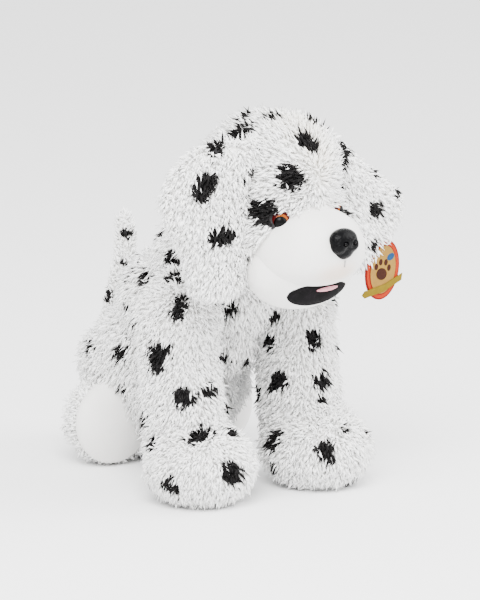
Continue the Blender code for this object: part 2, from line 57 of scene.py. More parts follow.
# In the skull's own space: -Y is where the dog looks
DOME_CENTRE = Vector((0.0, -0.0440, -0.0470))
DOME_HALF = Vector((0.0475, 0.0380, 0.0345))
CHEEK_CENTRE = Vector((0.0, -0.0360, -0.0600))
CHEEK_HALF = Vector((0.0520, 0.0300, 0.0325))
LIP_Z, LIP_FLATTEN = -0.0560, 0.72      # the dome's underside is drawn flatter below this height
EYES = {"left": Vector((0.0298, -0.0436, -0.0195)), "right": Vector((-0.0298, -0.0436, -0.0195))}
EYE_CLEAR = 0.0078              # bare backing round each eye's middle
FRONT_LEG_X = 0.053
HIND_LEG_X = 0.044


def to_head_array(points):
    matrix = np.array(TO_HEAD)
    return points @ matrix[:3, :3].T + matrix[:3, 3]


# ---- Bench tools -----------------------------------------------------------------------------

def clear_selection():
    if bpy.context.object and bpy.context.object.mode != "OBJECT":
        bpy.ops.object.mode_set(mode="OBJECT")
    for thing in bpy.context.selected_objects:
        thing.select_set(False)


def pick(*things):
    clear_selection()
    for thing in things:
        thing.select_set(True)
    bpy.context.view_layer.objects.active = things[0]


def settle(piece):
    """Put the piece's place, turn and size into its mesh."""
    pick(piece)
    bpy.ops.object.transform_apply(location=True, rotation=True, scale=True)


def ball(centre, half, turn=(0.0, 0.0, 0.0), segments=32, rings=20):
    clear_selection()
    bpy.ops.mesh.primitive_uv_sphere_add(segments=segments, ring_count=rings, radius=1.0,
                                         location=centre, rotation=turn, scale=half)
    return bpy.context.object


def post(start, end, radius_start, radius_end, vertices=28):
    """A tapered round post between two points."""
    start, end = Vector(start), Vector(end)
    clear_selection()
    bpy.ops.mesh.primitive_cone_add(vertices=vertices, radius1=radius_start, radius2=radius_end,
                                    depth=(end - start).length, location=(start + end) / 2,
                                    rotation=(end - start).to_track_quat("Z", "Y").to_euler())
    return bpy.context.object


def apply_modifier(piece, kind, **settings):
    modifier = piece.modifiers.new(kind.title(), kind)
    for key, value in settings.items():
        setattr(modifier, key, value)
    pick(piece)
    bpy.ops.object.modifier_apply(modifier=modifier.name)


def smooth_faces(piece):
    piece.data.shade_smooth()


def merge_blobs(name, blobs, voxel, rounds):
    """Join overlapping blobs into one skin and let it relax, as a sewn cover does over stuffing."""
    pick(*blobs)
    bpy.ops.object.transform_apply(location=True, rotation=True, scale=True)
    if len(blobs) > 1:
        pick(*blobs)
        bpy.ops.object.join()
    skin = bpy.context.view_layer.objects.active
    skin.name = name
    skin.data.name = name
    apply_modifier(skin, "REMESH", mode="VOXEL", voxel_size=voxel)
    if rounds:
        apply_modifier(skin, "SMOOTH", factor=0.5, iterations=rounds)
    smooth_faces(skin)
    return skin


CLOTH_FRAMES = 20


def stuff(skin, cap, pressure=4.0):
    """Blow the cover up a little like a filled one, each point moving no further than the cap."""
    before = np.empty(len(skin.data.vertices) * 3)
    skin.data.vertices.foreach_get("co", before)
    cloth = skin.modifiers.new("Cloth", "CLOTH")
    cloth.settings.use_pressure = True
    cloth.settings.uniform_pressure_force = pressure
    cloth.settings.effector_weights.gravity = 0.0
    cloth.settings.quality = 4
    scene = bpy.context.scene
    for step in range(1, CLOTH_FRAMES + 1):
        scene.frame_set(step)
    pick(skin)
    bpy.ops.object.modifier_apply(modifier=cloth.name)
    scene.frame_set(1)
    after = np.empty_like(before)
    skin.data.vertices.foreach_get("co", after)
    move = (after - before).reshape(-1, 3)
    reach = np.linalg.norm(move, axis=1, keepdims=True)
    move *= np.minimum(1.0, cap / np.maximum(reach, 1e-9))
    skin.data.vertices.foreach_set("co", (before.reshape(-1, 3) + move).ravel())
    skin.data.update()
    apply_modifier(skin, "SUBSURF", levels=1, render_levels=1)
    smooth_faces(skin)


def rest_on_floor(skin, height=0.0):
    """Flatten what would sink below the surface the toy sits on."""
    for vertex in skin.data.vertices:
        vertex.co.z = max(vertex.co.z, height)
    skin.data.update()


# ---- Materials -------------------------------------------------------------------------------

def new_material(name):
    made = bpy.data.materials.new(name)
    made.use_nodes = True
    return made, made.node_tree.nodes, made.node_tree.links, made.node_tree.nodes["Principled BSDF"]


def new_group(name, inputs, outputs):
    group = bpy.data.node_groups.new(name, "ShaderNodeTree")
    for label, kind, default in inputs:
        socket = group.interface.new_socket(label, in_out="INPUT", socket_type=kind)
        socket.default_value = default
    for label, kind in outputs:
        group.interface.new_socket(label, in_out="OUTPUT", socket_type=kind)
    return group, group.nodes.new("NodeGroupInput"), group.nodes.new("NodeGroupOutput")


def place_group(nodes, group, **values):
    node = nodes.new("ShaderNodeGroup")
    node.node_tree = group
    for label, value in values.items():
        node.inputs[label.replace("_", " ")].default_value = value
    return node


def ramp(nodes, stops):
    node = nodes.new("ShaderNodeValToRGB")
    elements = node.color_ramp.elements
    while len(elements) < len(stops):
        elements.new(0.5)
    for element, (place, colour) in zip(elements, stops):
        element.position = place
        element.color = (*colour, 1.0)
    return node


def nap_group():
    """Fine cloth nap: a soft bump and a slight change of tone, on the piece's own place."""
    group, start, end = new_group(
        "fabric_nap",
        [("Colour", "NodeSocketColor", (0.8, 0.8, 0.8, 1.0)),
         ("Shade", "NodeSocketColor", (0.6, 0.6, 0.6, 1.0)),
         ("Nap Scale", "NodeSocketFloat", 900.0), ("Patch Scale", "NodeSocketFloat", 60.0),
         ("Bump", "NodeSocketFloat", 0.2)],
        [("Colour", "NodeSocketColor"), ("Normal", "NodeSocketVector")])
    nodes, links = group.nodes, group.links
    place = nodes.new("ShaderNodeTexCoord")
    fine = nodes.new("ShaderNodeTexNoise")
    patch = nodes.new("ShaderNodeTexNoise")
    fine.inputs["Detail"].default_value = 3.0
    patch.inputs["Detail"].default_value = 4.0
    links.new(place.outputs["Object"], fine.inputs["Vector"])
    links.new(place.outputs["Object"], patch.inputs["Vector"])
    links.new(start.outputs["Nap Scale"], fine.inputs["Scale"])
    links.new(start.outputs["Patch Scale"], patch.inputs["Scale"])
    both = nodes.new("ShaderNodeMath")
    both.operation = "MULTIPLY"
    links.new(fine.outputs["Fac"], both.inputs[0])
    links.new(patch.outputs["Fac"], both.inputs[1])
    spread = nodes.new("ShaderNodeMapRange")
    spread.inputs["From Min"].default_value = 0.12
    spread.inputs["From Max"].default_value = 0.40
    links.new(both.outputs["Value"], spread.inputs["Value"])
    mix = nodes.new("ShaderNodeMix")
    mix.data_type = "RGBA"
    links.new(spread.outputs["Result"], mix.inputs["Factor"])
    links.new(start.outputs["Shade"], mix.inputs["A"])
    links.new(start.outputs["Colour"], mix.inputs["B"])
    links.new(mix.outputs["Result"], end.inputs["Colour"])
    bump = nodes.new("ShaderNodeBump")
    bump.inputs["Distance"].default_value = 0.0006
    links.new(start.outputs["Bump"], bump.inputs["Strength"])
    links.new(fine.outputs["Fac"], bump.inputs["Height"])
    links.new(bump.outputs["Normal"], end.inputs["Normal"])
    return group


NAP = nap_group()


def cloth_material(name, colour, shade, nap_scale, patch_scale, bump, roughness, sheen):
    made, nodes, links, shader = new_material(name)
    nap = place_group(nodes, NAP, Colour=(*colour, 1.0), Shade=(*shade, 1.0), Nap_Scale=nap_scale,
                      Patch_Scale=patch_scale, Bump=bump)
    links.new(nap.outputs["Colour"], shader.inputs["Base Color"])
    links.new(nap.outputs["Normal"], shader.inputs["Normal"])
    shader.inputs["Roughness"].default_value = roughness
    shader.inputs["Sheen Weight"].default_value = sheen
    shader.inputs["Sheen Roughness"].default_value = 0.5
    return made


STRAND_MAP = "OFBake"
# Yarn colours along the map's first value: black, then a blackish brown edge, white, cream
BLACK_YARN, WHITE_YARN, CREAM_YARN = 0.04, 0.35, 0.85
YARN_STOPS = (
    (0.0, (0.003, 0.003, 0.0035)), (0.10, (0.008, 0.007, 0.007)), (0.20, (0.06, 0.05, 0.045)),
    (0.25, (0.93, 0.925, 0.915)), (0.45, (0.97, 0.97, 0.965)), (0.65, (0.94, 0.925, 0.89)),
    (1.0, (0.92, 0.86, 0.76)),
)


def pile_material():
    """Strand colour: the map's first value picks the yarn, the second runs from root to tip, with painted
    shade that darkens the strands a little towards the root.
    """
    made, nodes, links, shader = new_material("shaggy_pile")
    strand = nodes.new("ShaderNodeUVMap")
    strand.uv_map = STRAND_MAP
    split = nodes.new("ShaderNodeSeparateXYZ")
    links.new(strand.outputs["UV"], split.inputs["Vector"])
    yarn = ramp(nodes, YARN_STOPS)
    links.new(split.outputs["X"], yarn.inputs["Fac"])
    # Painted shade: the strands are drawn a little darker towards the root, where the pile shades itself.
    depth = ramp(nodes, ((0.0, (0.93, 0.925, 0.91)), (0.4, (0.985, 0.985, 0.98)), (1.0, (1.0, 1.0, 1.0))))
    links.new(split.outputs["Y"], depth.inputs["Fac"])
    mix = nodes.new("ShaderNodeMix")
    mix.data_type = "RGBA"
    mix.blend_type = "MULTIPLY"
    mix.inputs["Factor"].default_value = 1.0
    links.new(yarn.outputs["Color"], mix.inputs["A"])
    links.new(depth.outputs["Color"], mix.inputs["B"])
    links.new(mix.outputs["Result"], shader.inputs["Base Color"])
    shader.inputs["Roughness"].default_value = 0.9
    shader.inputs["Specular IOR Level"].default_value = 0.15
    return made


def backing_material():
    """The knitted backing between the strands, dark where the pile is dyed."""
    made, nodes, links, shader = new_material("pile_backing")
    dye = nodes.new("ShaderNodeAttribute")
    dye.attribute_name = "dyed"
    nap = place_group(nodes, NAP, Colour=(0.96, 0.955, 0.94, 1.0), Shade=(0.90, 0.89, 0.87, 1.0),
                      Nap_Scale=1400.0, Patch_Scale=120.0, Bump=0.4)
    mix = nodes.new("ShaderNodeMix")
    mix.data_type = "RGBA"
    mix.inputs["B"].default_value = (0.012, 0.011, 0.012, 1.0)
    links.new(dye.outputs["Fac"], mix.inputs["Factor"])
    links.new(nap.outputs["Colour"], mix.inputs["A"])
    links.new(mix.outputs["Result"], shader.inputs["Base Color"])
    links.new(nap.outputs["Normal"], shader.inputs["Normal"])
    shader.inputs["Roughness"].default_value = 0.95
    return made


def muzzle_material():
    """Short white pile with a faint tan blush along the lip."""
    made, nodes, links, shader = new_material("muzzle_pile")
    nap = place_group(nodes, NAP, Colour=(0.80, 0.79, 0.77, 1.0), Shade=(0.72, 0.705, 0.68, 1.0),
                      Nap_Scale=1500.0, Patch_Scale=40.0, Bump=0.12)
    blush = place_group(nodes, blush_group())
    blush.inputs["Middle"].default_value = HEAD_PLACE @ Vector((-0.004, -0.0780, -0.0590))
    mix = nodes.new("ShaderNodeMix")
    mix.data_type = "RGBA"
    mix.inputs["B"].default_value = (0.66, 0.47, 0.34, 1.0)
    links.new(blush.outputs["Mask"], mix.inputs["Factor"])
    links.new(nap.outputs["Colour"], mix.inputs["A"])
    links.new(mix.outputs["Result"], shader.inputs["Base Color"])
    links.new(nap.outputs["Normal"], shader.inputs["Normal"])
    shader.inputs["Roughness"].default_value = 0.8
    shader.inputs["Sheen Weight"].default_value = 0.1
    shader.inputs["Sheen Roughness"].default_value = 0.5
    return made


def blush_group():
    """A soft airbrushed patch round a middle point, broken up by the pile."""
    group, start, end = new_group(
        "airbrushed_blush",
        [("Middle", "NodeSocketVector", (0.0, 0.0, 0.0)), ("Reach", "NodeSocketFloat", 0.030),
         ("Strength", "NodeSocketFloat", 0.55)],
        [("Mask", "NodeSocketFloat")])
    nodes, links = group.nodes, group.links
    place = nodes.new("ShaderNodeTexCoord")
    away = nodes.new("ShaderNodeVectorMath")
    away.operation = "SUBTRACT"
    links.new(place.outputs["Object"], away.inputs[0])
    links.new(start.outputs["Middle"], away.inputs[1])
    flatten = nodes.new("ShaderNodeVectorMath")
    flatten.operation = "MULTIPLY"
    flatten.inputs[1].default_value = (1.0, 1.0, 2.1)
    links.new(away.outputs["Vector"], flatten.inputs[0])
    length = nodes.new("ShaderNodeVectorMath")
    length.operation = "LENGTH"
    links.new(flatten.outputs["Vector"], length.inputs[0])
    share = nodes.new("ShaderNodeMath")
    share.operation = "DIVIDE"
    links.new(length.outputs["Value"], share.inputs[0])
    links.new(start.outputs["Reach"], share.inputs[1])
    fade = nodes.new("ShaderNodeMapRange")
    fade.interpolation_type = "SMOOTHERSTEP"
    fade.inputs["From Min"].default_value = 1.0
    fade.inputs["From Max"].default_value = 0.1
    links.new(share.outputs["Value"], fade.inputs["Value"])
    power = nodes.new("ShaderNodeMath")
    power.operation = "MULTIPLY"
    links.new(fade.outputs["Result"], power.inputs[0])
    links.new(start.outputs["Strength"], power.inputs[1])
    links.new(power.outputs["Value"], end.inputs["Mask"])
    return group


def moulding_group():
    """Fine pebbled surface of moulded plastic."""
    group, start, end = new_group(
        "moulded_surface",
        [("Grain Scale", "NodeSocketFloat", 900.0), ("Bump", "NodeSocketFloat", 0.25)],
        [("Normal", "NodeSocketVector"), ("Roughness", "NodeSocketFloat")])
    nodes, links = group.nodes, group.links
    place = nodes.new("ShaderNodeTexCoord")
    grain = nodes.new("ShaderNodeTexVoronoi")
    wear = nodes.new("ShaderNodeTexNoise")
    wear.inputs["Scale"].default_value = 180.0
    links.new(place.outputs["Object"], grain.inputs["Vector"])
    links.new(place.outputs["Object"], wear.inputs["Vector"])
    links.new(start.outputs["Grain Scale"], grain.inputs["Scale"])
    bump = nodes.new("ShaderNodeBump")
    bump.inputs["Distance"].default_value = 0.0004
    links.new(start.outputs["Bump"], bump.inputs["Strength"])
    links.new(grain.outputs["Distance"], bump.inputs["Height"])
    links.new(bump.outputs["Normal"], end.inputs["Normal"])
    spread = nodes.new("ShaderNodeMapRange")
    spread.inputs["To Min"].default_value = 0.18
    spread.inputs["To Max"].default_value = 0.34
    links.new(wear.outputs["Fac"], spread.inputs["Value"])
    links.new(spread.outputs["Result"], end.inputs["Roughness"])
    return group


MOULDING = moulding_group()


def plastic_material(name, colour, bump, coat, grain=900.0):
    made, nodes, links, shader = new_material(name)
    surface = place_group(nodes, MOULDING, Grain_Scale=grain, Bump=bump)
    links.new(surface.outputs["Normal"], shader.inputs["Normal"])
    links.new(surface.outputs["Roughness"], shader.inputs["Roughness"])
    shader.inputs["Base Color"].default_value = (*colour, 1.0)
    shader.inputs["Specular IOR Level"].default_value = 0.06
    shader.inputs["Coat Weight"].default_value = coat
    shader.inputs["Coat Roughness"].default_value = 0.08
    return made


PILE = pile_material()
BACKING = backing_material()
SMOOTH_PILE = cloth_material("smooth_short_pile", (0.80, 0.79, 0.77), (0.72, 0.705, 0.68), 1500.0, 40.0,
                             0.12, 0.8, 0.1)
BLACK_FELT = cloth_material("black_felt", (0.006, 0.005, 0.006), (0.002, 0.002, 0.002), 1300.0, 200.0,
                            0.35, 1.0, 0.0)
BLACK_FELT.node_tree.nodes["Principled BSDF"].inputs["Specular IOR Level"].default_value = 0.1
MUZZLE_PILE = muzzle_material()
GREY_THREAD = cloth_material("grey_thread", (0.45, 0.44, 0.43), (0.32, 0.31, 0.30), 1600.0, 300.0,
                             0.3, 0.8, 0.1)
NOSE_PLASTIC = plastic_material("moulded_nose_black", (0.0015, 0.0015, 0.0018), 0.5, 0.0, 700.0)
EYE_BLACK = plastic_material("eye_black", (0.001, 0.001, 0.001), 0.0, 0.04)
AMBER = plastic_material("eye_amber", (0.22, 0.050, 0.003), 0.0, 0.05)
RIM_RED = plastic_material("eye_rim_dark_red", (0.035, 0.001, 0.001), 0.0, 0.05)
WASHER_PLASTIC = plastic_material("white_washer_plastic", (0.80, 0.80, 0.80), 0.1, 0.0)
LOOP_PLASTIC = plastic_material("clear_white_loop", (0.86, 0.86, 0.86), 0.05, 0.3)
PINK_FELT = cloth_material("pink_felt", (0.60, 0.25, 0.29), (0.48, 0.17, 0.21), 1300.0, 200.0, 0.35,
                           0.85, 0.2)


def dress(piece, look):
    piece.data.materials.clear()
    piece.data.materials.append(look)


# ---- Spots -----------------------------------------------------------------------------------
# Each list: middle of the spot and its half width, in millimetres, in the body's own space
# (world space for torso, legs and tail; the skull's space for head and ears).

SPOTS = {
    "head": ((-13, 11, 47, 7.0), (-9, -13, 50, 6.0), (-32, -4, 39, 11.0), (20, -26, 42, 7.5),
             (28, -22, 36, 6.5), (-6, -44, 37, 8.5), (-26, -46, 13, 10.5), (-42, -36, -14, 9.5),
             (-38, -42, -20, 7.0), (42, -30, 4, 5.0)),
    "ear_left": ((52, -27, 18, 8.0), (50, -27, 8, 5.0), (51, -25, -9, 4.5), (84, -29, -30, 7.5),
                 (87, -26, -4, 3.5), (66, -24, 12, 3.0), (112, -26, -24, 3.5), (84, -28, -57, 5.0)),
    "ear_right": ((-74, -18, 36, 8.0), (-87, -20, 13, 9.5), (-48, -24, 19, 4.0), (-54, -24, 10, 3.0),
                  (-52, -23, -2, 2.4), (-49, -24, -18, 2.0), (-73, -22, -29, 9.0)),
    "torso": ((-31, -69, 188, 5.0), (-40, -98, 174, 8.0), (-41, -40, 150, 6.0), (-41, -61, 152, 7.0),
              (-46, -46, 129, 4.5), (-43, -39, 106, 4.8), (-17, -137, 141, 6.0), (-21, -131, 132, 4.5),
              (-48, 9, 85, 6.0), (-46, 12, 108, 4.5), (-47, -35, 90, 7.2), (-13, -118, 97, 5.0),
              (10, -116, 92, 5.0), (-41, -31, 62, 5.5), (-38, -8, 132, 4.5)),
    "tail": ((-2, 35, 171, 4.0), (-4, 36, 147, 3.0), (-7, 53, 120, 4.5), (-7, 57, 96, 3.5)),
    "front_leg_right": ((-55, -115, 163, 7.0), (-63, -141, 148, 6.8), (-78, -132, 113, 9.0),
                        (-72, -136, 116, 6.0), (-28, -138, 104, 6.0), (-67, -151, 80, 8.6),
                        (-47, -153, 82, 5.8), (-78, -118, 59, 7.5), (-65, -169, 52, 7.8),
                        (-36, -170, 50, 6.6), (-84, -136, 41, 6.5), (-52, -192, 28, 8.0),
                        (-87, -167, 18, 6.6), (-24, -144, 66, 6.0)),
    "front_leg_left": ((26, -133, 129, 6.0), (27, -129, 108, 5.5), (51, -149, 113, 6.6),
                       (28, -139, 79, 7.6), (55, -155, 77, 6.8), (53, -158, 63, 3.4),
                       (16, -151, 33, 8.0), (37, -188, 32, 6.8), (57, -186, 43, 3.4),
                       (78, -176, 36, 4.5), (41, -190, 24, 3.0), (17, -152, 16, 4.0),
                       (34, -187, 26, 2.2), (74, -168, 58, 3.0)),
    "hind_leg_left": (),
    "hind_leg_right": ((-77, -6, 50, 5.0), (-70, 2, 60, 4.0)),
}


def dyed(points, spots, rng, ragged=0.10):
    """1 inside a spot, with an uneven edge."""
    inside = np.zeros(len(points))
    shapes = np.random.default_rng(7)
    jitter = 1.0 + ragged * rng.standard_normal(len(points))
    for x, y, z, half in spots:
        lobes = [(np.zeros(3), 0.92)]
        lobes += [(shapes.standard_normal(3) * 0.45, 0.5 + 0.25 * shapes.random()) for _ in range(3)]
        for shift, share in lobes:
            away = np.linalg.norm(points - (np.array((x, y, z)) + shift * half) * MM, axis=1)
            inside = np.maximum(inside, (away < half * share * MM * jitter).astype(float))
    return inside


# The sides facing this way have only the listed spots; the rest are strewn at like spacing
LISTED_SIDE = np.array((-0.53, -0.82, 0.20))
FACING_LISTED = 0.10
SPOT_SPACING = 31.0
SPOT_SIZES = (5.0, 9.0)


def strewn(points, normals, listed, rng):
    """More spots for the sides that have none listed, in the same spacing as the listed ones."""
    spots = list(listed)
    order = rng.permutation(len(points))[:4000]
    for index in order:
        if normals[index] @ LISTED_SIDE > FACING_LISTED:
            continue
        here = points[index] / MM
        if all(np.linalg.norm(here - np.array(spot[:3])) > SPOT_SPACING for spot in spots):
            spots.append((*here, rng.uniform(*SPOT_SIZES)))
    return spots


# ---- Pile ------------------------------------------------------------------------------------

def surface_samples(skin, spacing, rng):
    """Points and normals spread evenly by area over a skin's mesh."""
    mesh = skin.data
    mesh.calc_loop_triangles()
    corners = np.empty(len(mesh.loop_triangles) * 3, dtype=np.int64)
    mesh.loop_triangles.foreach_get("vertices", corners)
    corners = corners.reshape(-1, 3)
    co = np.empty(len(mesh.vertices) * 3)
    mesh.vertices.foreach_get("co", co)
    co = co.reshape(-1, 3)
    normal = np.empty(len(mesh.vertices) * 3)
    mesh.vertex_normals.foreach_get("vector", normal)
    normal = normal.reshape(-1, 3)
    a, b, c = co[corners[:, 0]], co[corners[:, 1]], co[corners[:, 2]]
    area = np.linalg.norm(np.cross(b - a, c - a), axis=1) / 2
    total = area.sum()
    count = int(total / spacing ** 2)
    steps = (np.arange(count) + rng.random(count)) / count * total
    face = np.searchsorted(np.cumsum(area), steps).clip(0, len(area) - 1)
    r1, r2 = np.sqrt(rng.random(count)), rng.random(count)
    weights = np.stack([1 - r1, r1 * (1 - r2), r1 * r2], axis=1)
    chosen = corners[face]
    points = np.einsum("ij,ijk->ik", weights, co[chosen])
    normals = np.einsum("ij,ijk->ik", weights, normal[chosen])
    normals /= np.linalg.norm(normals, axis=1, keepdims=True)
    return points, normals


def unit(vectors):
    return vectors / np.maximum(np.linalg.norm(vectors, axis=1, keepdims=True), 1e-9)


SIDES = 3                       # a strand is a closed three-sided tuft


def grow_pile(name, body, points, normals, lean, tone, length, width, rng, stand=0.55):
    """Strands as closed three-sided tufts: they stand up, then lean over and droop at the tip."""
    count = len(points)
    lean = lean - normals * np.sum(lean * normals, axis=1, keepdims=True)
    lean = unit(lean + 0.35 * rng.standard_normal((count, 3)))
    size = length * (1.0 + 0.22 * rng.standard_normal((count, 1))).clip(0.5, 1.5)
    first = unit(normals * stand + lean * (1 - stand) + 0.12 * rng.standard_normal((count, 3)))
    second = unit(normals * stand * 0.35 + lean + 0.15 * rng.standard_normal((count, 3)))
    middle = points + first * size * 0.5
    tip = middle + second * size * 0.5
    across = unit(np.cross(first, normals + 0.01))
    over = unit(np.cross(first, across))
    thick = width * (1.0 + 0.2 * rng.standard_normal((count, 1))).clip(0.6, 1.5)
    rings = []
    for centre, share in ((points - normals * 0.0006, 0.8), (middle, 1.0)):
        for side in range(SIDES):
            angle = 2 * math.pi * side / SIDES
            rings.append(centre + (across * math.cos(angle) + over * math.sin(angle)) * thick * share)
    verts = np.stack(rings + [tip], axis=1)
    per = 2 * SIDES + 1
    pattern = [(2, 1, 0)]
    for side in range(SIDES):
        after = (side + 1) % SIDES
        pattern += [(side, after, SIDES + after), (side, SIDES + after, SIDES + side),
                    (SIDES + side, SIDES + after, 2 * SIDES)]
    pattern = np.array(pattern)
    faces = (pattern[None] + (np.arange(count) * per)[:, None, None]).reshape(-1, 3)
    mesh = bpy.data.meshes.new(name)
    mesh.vertices.add(count * per)
    mesh.vertices.foreach_set("co", verts.astype(np.float32).ravel())
    mesh.loops.add(len(faces) * 3)
    mesh.loops.foreach_set("vertex_index", faces.astype(np.int32).ravel())
    mesh.polygons.add(len(faces))
    mesh.polygons.foreach_set("loop_start", np.arange(len(faces), dtype=np.int32) * 3)
    mesh.polygons.foreach_set("loop_total", np.full(len(faces), 3, dtype=np.int32))
    mesh.polygons.foreach_set("use_smooth", np.ones(len(faces), dtype=bool))
    heights = np.array([0.0] * SIDES + [0.5] * SIDES + [1.0])[pattern]
    strand = np.empty((count, len(pattern), 3, 2), dtype=np.float32)
    strand[..., 0] = tone[:, None, None]
    strand[..., 1] = heights[None]
    layer = mesh.uv_layers.new(name=STRAND_MAP)
    layer.data.foreach_set("uv", strand.ravel())
    mesh.update()
    mesh.validate()
    piece = bpy.data.objects.new(name, mesh)
    bpy.context.scene.collection.objects.link(piece)
    dress(piece, PILE)
    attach(piece, body)
    return piece


def mark_dye(skin, spots, local, rng):
    """Mark the backing dark under the spots."""
    co = np.empty(len(skin.data.vertices) * 3)
    skin.data.vertices.foreach_get("co", co)
    co = co.reshape(-1, 3)
    values = dyed(local(co), spots, rng, 0.0)
    layer = skin.data.attributes.new("dyed", "FLOAT", "POINT")
    layer.data.foreach_set("value", values.astype(np.float32))


def same(points):
    """The pieces outside the head have their spots in world places."""
    return points


FUR_SPACING = 0.0019
STRAND_LENGTH = 0.0100
STRAND_WIDTH = 0.00095
WHITE_SPREAD = 0.06             # how much the white yarn varies from strand to strand
PALEST_YARN = 0.27              # below this the map turns dark


def cover_with_pile(skin, body, seed, lean_of, spots, local=same, keep=None, cream_of=None,
                    length=STRAND_LENGTH, parts=1):
    """Grow the skin's pile: spots go where the middle of a lying strand shows, not its root."""
    rng = np.random.default_rng(seed)
    points, normals = surface_samples(skin, FUR_SPACING, rng)
    if keep is not None:
        mask = keep(local(points))
        points, normals = points[mask], normals[mask]
    lean = lean_of(points, normals)
    here = local(points)
    spots = strewn(here, normals, spots, rng)
    mark_dye(skin, spots, local, rng)
    lying = unit(lean - normals * np.sum(lean * normals, axis=1, keepdims=True))
    black = dyed(local(points + lying * length * 0.5), spots, rng)
    tone = WHITE_YARN + WHITE_SPREAD * rng.standard_normal(len(points)).clip(-1.5, 2.0)
    if cream_of is not None:
        tone = tone + (CREAM_YARN - WHITE_YARN) * cream_of(here)
    tone = np.clip(tone, PALEST_YARN, 1.0)
    tone = np.where(black > 0.5, BLACK_YARN + 0.04 * rng.random(len(points)), tone)
    order = np.argsort(points[:, 1]) if parts > 1 else np.arange(len(points))
    for number, chunk in enumerate(np.array_split(order, parts)):
        label = f"{skin.name}_pile" + (f"_{number + 1}" if parts > 1 else "")
        grow_pile(label, body, points[chunk], normals[chunk], lean[chunk], tone[chunk],
                  length, STRAND_WIDTH, rng)


def hang_down(points, normals):
    """The pile is brushed down and a little back."""
    return np.tile(np.array((0.0, 0.25, -1.0)), (len(points), 1))


# ---- Skins -----------------------------------------------------------------------------------

def make_torso():
    blobs = [
        ball((0, 0.004, 0.044), (0.052, 0.050, 0.044)),
        ball((0, -0.022, 0.088), (0.048, 0.056, 0.052)),
        ball((0, -0.050, 0.068), (0.042, 0.046, 0.048)),
        ball((0, -0.056, 0.132), (0.047, 0.064, 0.045)),
        ball((0, -0.092, 0.170), (0.041, 0.050, 0.042)),
        ball((0, -0.110, 0.150), (0.034, 0.034, 0.040)),
        ball((0, -0.088, 0.112), (0.032, 0.040, 0.034)),
        ball((0.026, 0.002, 0.072), (0.025, 0.042, 0.034)),
        ball((-0.026, 0.002, 0.072), (0.025, 0.042, 0.034)),
    ]
    torso = merge_blobs("torso", blobs, 0.005, 6)
    stuff(torso, 0.004)
    rest_on_floor(torso)
    dress(torso, BACKING)
    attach(torso, "torso")
    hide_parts("torso_cover", "torso_stuffing", "pellet_pouch")
    cover_with_pile(torso, "torso", 11, hang_down, SPOTS["torso"], parts=2)


def make_front_leg(name, side):
    x = side * FRONT_LEG_X
    blobs = [
        ball((x, -0.1525, 0.027), (0.0395, 0.0405, 0.0300)),
        post((x, -0.134, 0.030), (x, -0.119, 0.130), 0.0290, 0.0270),
        ball((x, -0.118, 0.130), (0.028, 0.033, 0.031)),
        ball((side * 0.040, -0.108, 0.140), (0.026, 0.034, 0.030)),
    ]
    leg = merge_blobs(f"front_leg_{name}", blobs, 0.0045, 8)
    stuff(leg, 0.003)
    rest_on_floor(leg)
    dress(leg, BACKING)
    body = f"front_leg_{name}"
    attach(leg, body)
    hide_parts(f"{body}_cover", f"{body}_stuffing")
    cover_with_pile(leg, body, 21 + side, hang_down, SPOTS[body], length=0.0085,
                    keep=lambda p: p[:, 2] > 0.002)


def make_hind_leg(name, side):
    x = side * HIND_LEG_X
    blobs = [
        ball((x, -0.004, 0.0325), (0.0325, 0.026, 0.0325)),
        post((x, -0.022, 0.0325), (x, 0.018, 0.0325), 0.0300, 0.0260),
    ]
    leg = merge_blobs(f"hind_leg_{name}", blobs, 0.004, 5)
    stuff(leg, 0.002)
    rest_on_floor(leg)
    dress(leg, BACKING)
    body = f"hind_leg_{name}"
    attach(leg, body)
    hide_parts(f"{body}_cover", f"{body}_stuffing")

    def back_and_out(points, normals):
        away = points - np.array((x, 0.0, 0.0325))
        away[:, 1] = 0.035
        return away
    cover_with_pile(leg, body, 31 + side, back_and_out, SPOTS[body], length=0.0065,
                    keep=lambda p: (p[:, 1] > -0.019) & (p[:, 2] > 0.002))

    sole = ball((x + side * 0.0035, -0.0175, 0.0340), (0.0330, 0.0165, 0.0335), segments=48, rings=28)
    sole.name = f"sole_{name}"
    settle(sole)
    smooth_faces(sole)
    rest_on_floor(sole, 0.0005)
    dress(sole, SMOOTH_PILE)
    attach(sole, body)
    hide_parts(f"hind_sole_{name}")


TAIL_ROUTE = ((0.058, 0.024), (0.066, 0.050), (0.063, 0.085), (0.051, 0.120), (0.041, 0.150),
              (0.040, 0.170), (0.041, 0.180))


def make_tail():
    blobs = []
    radii = (0.0105, 0.0095, 0.0085, 0.0075, 0.0068, 0.0062, 0.0052)
    for (y0, z0), (y1, z1), r0, r1 in zip(TAIL_ROUTE, TAIL_ROUTE[1:], radii, radii[1:]):
        blobs.append(post((0, y0, z0), (0, y1, z1), r0, r1, 20))
        blobs.append(ball((0, y1, z1), (r1, r1, r1), segments=20, rings=12))
    tail = merge_blobs("tail", blobs, 0.0025, 6)
    stuff(tail, 0.001)
    dress(tail, BACKING)
    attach(tail, "tail")
    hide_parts("tail_cover", "tail_stuffing")

    def along(points, normals):
        return np.tile(np.array((0.0, -0.1, 1.0)), (len(points), 1))
    cover_with_pile(tail, "tail", 41, along, SPOTS["tail"], length=0.0060)


def head_ball(centre, half, turn=0.0, **shape):
    return ball(HEAD_PLACE @ Vector(centre), half, (0.0, 0.0, HEAD_TURN + turn), **shape)


def face_mask(points):
    """True on the skull away from the smooth muzzle and the eyes."""
    clear = np.ones(len(points), dtype=bool)
    for centre, half in ((DOME_CENTRE, DOME_HALF), (CHEEK_CENTRE, CHEEK_HALF)):
        away = (points - np.array(centre)) / (np.array(half) + 0.0005)
        clear &= np.linalg.norm(away, axis=1) > 1.0
    for eye in EYES.values():
        clear &= np.linalg.norm(points - np.array(eye), axis=1) > EYE_CLEAR
    return clear


